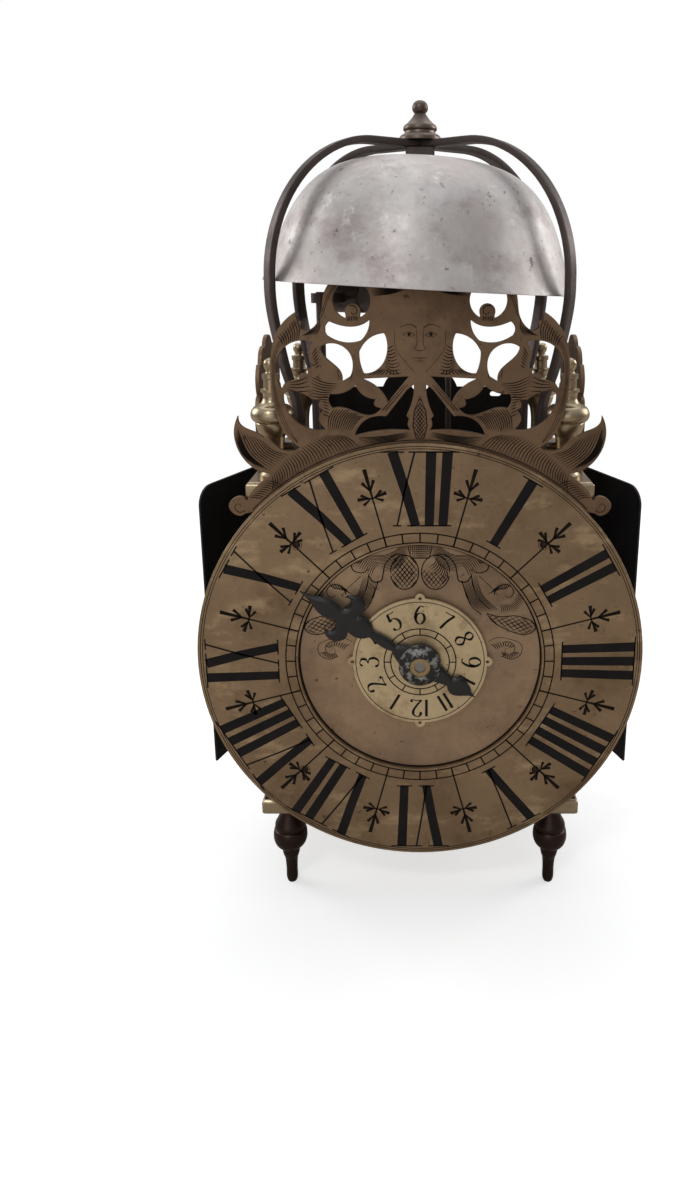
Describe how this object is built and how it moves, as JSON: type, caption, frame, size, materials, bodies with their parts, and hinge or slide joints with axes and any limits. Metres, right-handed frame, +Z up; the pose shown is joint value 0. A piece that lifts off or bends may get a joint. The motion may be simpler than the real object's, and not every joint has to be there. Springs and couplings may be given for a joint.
{
  "type": "lantern clock",
  "caption": "Brass lantern clock with a round engraved dial, single hand, bell in an iron strap cage, pierced frets, side doors and a weight-driven striking movement.",
  "frame": {"origin": "on the surface that the feet stand on, under the middle of the frame", "axes": "+Z up, the dial looks towards -Y, +X to the right as seen from the front"},
  "size_m": [0.2058, 0.1452, 0.3737],
  "materials": {
    "frame_brass": "aged",
    "dial_brass": "aged",
    "disc_brass": "satin",
    "bell_metal": "satin",
    "dark_iron": "satin",
    "black_sheet": "matte",
    "black_iron": "gloss",
    "movement_brass": "satin",
    "steel": "satin"
  },
  "bodies": {
    "frame": {"bottom_plate": "frame_brass", "top_plate": "frame_brass", "pillar_front_left": "frame_brass", "pillar_front_right": "frame_brass", "pillar_rear_left": "frame_brass", "pillar_rear_right": "frame_brass", "finial_front_left": "frame_brass", "finial_front_right": "frame_brass", "finial_rear_left": "frame_brass", "finial_rear_right": "frame_brass", "foot_front_left": "frame_brass", "foot_front_right": "frame_brass", "foot_rear_left": "frame_brass", "foot_rear_right": "frame_brass", "front_fret": "frame_brass", "side_fret_left": "frame_brass", "side_fret_right": "frame_brass", "bell_finial": "frame_brass", "chapter_ring": "dial_brass", "dial_plate": "dial_brass", "ring_posts": "dial_brass", "bell": "bell_metal", "bell_strap_a": "dark_iron", "bell_strap_b": "dark_iron", "bell_stud": "dark_iron", "alarm_bracket": "dark_iron", "front_bar": "dark_iron", "middle_bar": "dark_iron", "rear_bar": "dark_iron", "wall_spurs": "dark_iron", "frame_screws": "dark_iron", "dial_screws": "dark_iron", "door_rod_left": "dark_iron", "door_rod_right": "dark_iron", "back_plate": "black_sheet", "hour_stud": "steel"},
    "hour": {"hour_wheel": "movement_brass", "hour_hand": "black_iron", "hand_boss": "black_iron"},
    "alarm_setting": {"alarm_disc": "disc_brass"},
    "going_great": {"going_arbor": "steel", "going_great_wheel": "movement_brass", "going_pulley": "movement_brass"},
    "second": {"second_wheel": "movement_brass"},
    "escape": {"escape_wheel": "movement_brass"},
    "pendulum": {"anchor": "steel", "pendulum": "steel"},
    "strike_great": {"strike_arbor": "steel", "strike_great_wheel": "movement_brass", "strike_pulley": "movement_brass"},
    "hoop": {"hoop_wheel": "movement_brass"},
    "fly": {"fly": "movement_brass"},
    "count": {"count_wheel": "movement_brass"},
    "strike_hammer": {"hammer_arbor": "dark_iron", "strike_hammer": "dark_iron"},
    "alarm_wheel": {"alarm_wheel": "movement_brass"},
    "alarm_hammer": {"alarm_verge": "dark_iron", "alarm_hammer": "dark_iron"},
    "door_left": {"door_left": "black_sheet"},
    "door_right": {"door_right": "black_sheet"}
  },
  "joints": [
    {"name": "going_turn", "type": "hinge", "parent": "frame", "child": "going_great", "pos_m": [0, -0.02, 0.0897], "axis": [0, 1, 0], "continuous": true},
    {"name": "hour_turn", "type": "hinge", "parent": "frame", "child": "hour", "pos_m": [0, -0.05, 0.1287], "axis": [0, 1, 0], "continuous": true},
    {"name": "alarm_set", "type": "hinge", "parent": "hour", "child": "alarm_setting", "pos_m": [0, -0.058, 0.1287], "axis": [0, 1, 0], "continuous": true},
    {"name": "second_turn", "type": "hinge", "parent": "frame", "child": "second", "pos_m": [0.01, -0.012, 0.11767], "axis": [0, 1, 0], "continuous": true},
    {"name": "escape_turn", "type": "hinge", "parent": "frame", "child": "escape", "pos_m": [0, -0.006, 0.13681], "axis": [0, 1, 0], "continuous": true},
    {"name": "pendulum_swing", "type": "hinge", "parent": "frame", "child": "pendulum", "pos_m": [0, 0.02, 0.15581], "axis": [0, 1, 0], "range_deg": [-4, 4]},
    {"name": "strike_turn", "type": "hinge", "parent": "frame", "child": "strike_great", "pos_m": [-0.008, 0.015, 0.0897], "axis": [0, 1, 0], "continuous": true},
    {"name": "hoop_turn", "type": "hinge", "parent": "frame", "child": "hoop", "pos_m": [-0.008, 0.015, 0.1194], "axis": [0, 1, 0], "continuous": true},
    {"name": "fly_turn", "type": "hinge", "parent": "frame", "child": "fly", "pos_m": [0.002, 0.015, 0.14122], "axis": [0, 1, 0], "continuous": true},
    {"name": "count_turn", "type": "hinge", "parent": "frame", "child": "count", "pos_m": [0.004, 0.036, 0.11254], "axis": [0, 1, 0], "continuous": true},
    {"name": "strike_hammer_swing", "type": "hinge", "parent": "frame", "child": "strike_hammer", "pos_m": [-0.05, 0.022, 0.2], "axis": [0, 0, 1], "range_deg": [-18, 6]},
    {"name": "alarm_wheel_turn", "type": "hinge", "parent": "frame", "child": "alarm_wheel", "pos_m": [0.015, 0.046, 0.182], "axis": [0, 1, 0], "continuous": true},
    {"name": "alarm_hammer_swing", "type": "hinge", "parent": "frame", "child": "alarm_hammer", "pos_m": [0.015, 0.0395, 0.25], "axis": [0, 0, 1], "range_deg": [-8, 8]},
    {"name": "door_left_open", "type": "hinge", "parent": "frame", "child": "door_left", "pos_m": [-0.07255, 0.0465, 0.13], "axis": [0, 0, -1], "range_deg": [-21, 70]},
    {"name": "door_right_open", "type": "hinge", "parent": "frame", "child": "door_right", "pos_m": [0.07255, 0.0465, 0.13], "axis": [0, 0, 1], "range_deg": [-21, 70]}
  ],
  "couplings": [
    {"joint": "going_turn", "follows": "second_turn", "ratio": -0.1},
    {"joint": "escape_turn", "follows": "second_turn", "ratio": -8},
    {"joint": "hour_turn", "follows": "second_turn", "ratio": 0.0083333},
    {"joint": "strike_turn", "follows": "hoop_turn", "ratio": -0.1},
    {"joint": "fly_turn", "follows": "hoop_turn", "ratio": -9},
    {"joint": "count_turn", "follows": "hoop_turn", "ratio": 0.010256}
  ]
}
